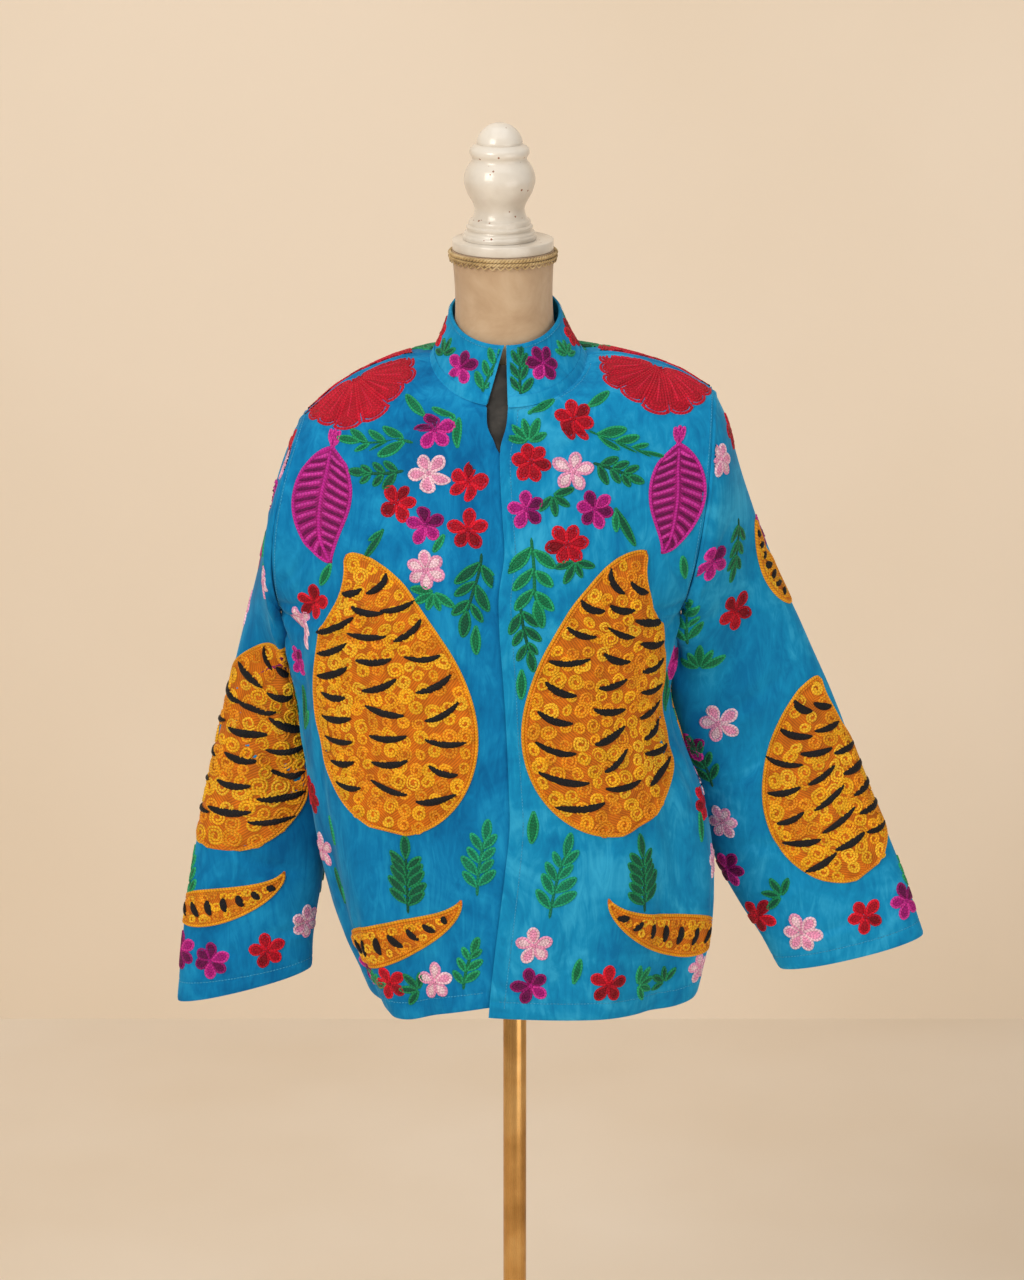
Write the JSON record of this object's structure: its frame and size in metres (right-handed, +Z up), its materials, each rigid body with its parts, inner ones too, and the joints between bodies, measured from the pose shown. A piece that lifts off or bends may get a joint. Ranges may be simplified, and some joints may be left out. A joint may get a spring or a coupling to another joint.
{
  "type": "suzani blazer on a limbless dress form",
  "caption": "Open-front embroidered velvet jacket with a stand collar and long sleeves, worn by a limbless dress form on a pole stand.",
  "frame": {"origin": "centre of the round base's underside, on the floor under the pole", "axes": "+Z up along the pole, -Y the jacket's front, +X the wearer's left"},
  "size_m": [0.8099, 0.34, 1.6655],
  "materials": {
    "velvet_light": "turquoise cotton velvet, watered nap",
    "velvet_deep": "deeper turquoise cotton velvet, watered nap",
    "yarn": "thick chain-stitched yarn",
    "grey_cloth": "plain dark grey cotton",
    "jersey": "beige cotton jersey",
    "braid": "straw-coloured twisted braid",
    "painted_wood": "off-white gloss paint, lightly worn",
    "bare_wood": "stained plywood",
    "brass": "satin lacquered brass"
  },
  "bodies": {
    "root": {"front_left": "velvet_light", "front_right": "velvet_deep", "back": "velvet_deep", "sleeve_left": "velvet_light", "sleeve_right": "velvet_deep", "collar": "velvet_light", "neck_binding": "velvet_light", "underlap": "grey_cloth", "form_torso": "jersey", "neck_braid": "braid", "neck_cap": "painted_wood", "finial": "painted_wood", "torso_plate": "bare_wood", "pole_socket": "brass", "pole": "brass", "base_hub": "brass", "base_disc": "brass"}
  },
  "joints": []
}
